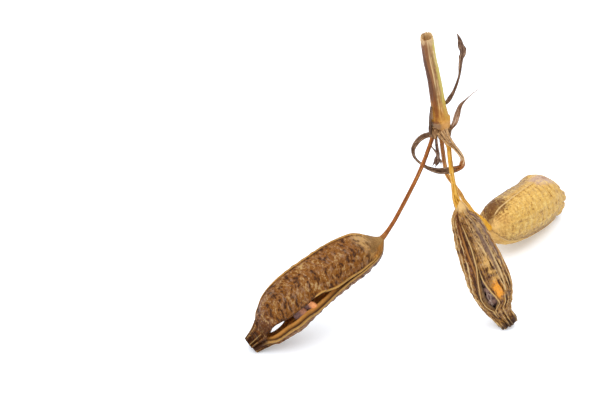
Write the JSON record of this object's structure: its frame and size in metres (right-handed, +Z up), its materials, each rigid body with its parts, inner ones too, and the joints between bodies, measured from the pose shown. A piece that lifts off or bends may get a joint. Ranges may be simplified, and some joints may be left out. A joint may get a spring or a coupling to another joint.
{
  "type": "iris seed pod spray",
  "caption": "Dried iris seed capsules on one cut stem with withered bracts, two split open on their seeds, standing on their own tips and belly.",
  "frame": {"origin": "on the surface the spray stands on, under the middle of its bounding box", "axes": "+X to the right as in the picture, from the split left pod towards the right pod; +Y away from the viewer, towards the closed pod; +Z up, towards the cut stem"},
  "size_m": [0.1016, 0.0866, 0.0938],
  "materials": {
    "dark_pod": "matte",
    "grey_pod": "matte",
    "golden_pod": "matte",
    "seed": "satin",
    "brown_stalk": "satin",
    "yellow_stalk": "satin",
    "orange_stalk": "satin",
    "straw_stem": "satin",
    "straw_bract": "matte",
    "grey_bract": "matte"
  },
  "bodies": {
    "root": {"pod_left": "dark_pod", "pod_middle": "grey_pod", "pod_right": "golden_pod", "seeds_left": "seed", "seeds_middle": "seed", "stalk_left": "brown_stalk", "stalk_middle": "yellow_stalk", "stalk_right": "orange_stalk", "stem": "straw_stem", "bract_loop": "straw_bract", "bract_tall": "grey_bract", "bract_short": "grey_bract", "bract_sheath": "grey_bract", "withered_bud": "grey_bract"}
  },
  "joints": []
}
